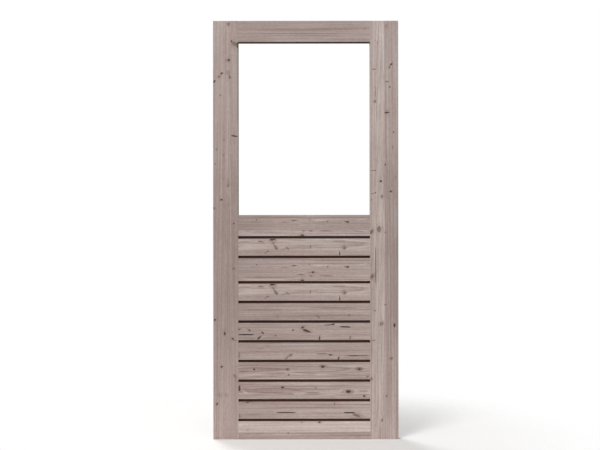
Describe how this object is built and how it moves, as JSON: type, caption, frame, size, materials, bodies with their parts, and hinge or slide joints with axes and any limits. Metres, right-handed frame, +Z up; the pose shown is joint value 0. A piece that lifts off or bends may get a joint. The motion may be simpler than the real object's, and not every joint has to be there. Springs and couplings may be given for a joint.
{
  "type": "exterior door leaf",
  "caption": "Solid softwood door leaf: glued-up stiles and rails round an open window, over a panel of horizontal boards with dark shadow gaps.",
  "frame": {"origin": "on the hinge edge's face, at mid height and mid thickness", "axes": "+X across the leaf from the hinge edge to the lock edge, +Y from the front face to the back face, +Z up"},
  "size_m": [0.885, 0.042, 2],
  "materials": {
    "greyed_pine_mid": "sanded, thermally greyed, unsealed",
    "greyed_pine_pale": "sanded, thermally greyed, unsealed",
    "greyed_pine_dark": "sanded, thermally greyed, unsealed"
  },
  "bodies": {
    "root": {"hinge_stile_outer_stave": "greyed_pine_mid", "hinge_stile_inner_stave": "greyed_pine_mid", "lock_stile_inner_stave": "greyed_pine_pale", "lock_stile_middle_stave": "greyed_pine_pale", "lock_stile_outer_stave": "greyed_pine_dark", "top_rail_upper_stave": "greyed_pine_pale", "top_rail_lower_stave": "greyed_pine_dark", "middle_rail_upper_stave": "greyed_pine_mid", "middle_rail_lower_stave": "greyed_pine_mid", "bottom_rail_upper_stave": "greyed_pine_pale", "bottom_rail_lower_stave": "greyed_pine_dark", "board_1_main_stave": "greyed_pine_pale", "board_1_foot_stave": "greyed_pine_mid", "board_2_main_stave": "greyed_pine_mid", "board_2_foot_stave": "greyed_pine_mid", "board_3_main_stave": "greyed_pine_pale", "board_3_foot_stave": "greyed_pine_mid", "board_4": "greyed_pine_mid", "board_5": "greyed_pine_mid", "board_6": "greyed_pine_mid", "board_7": "greyed_pine_mid", "board_8": "greyed_pine_mid", "board_9": "greyed_pine_mid"}
  },
  "joints": []
}
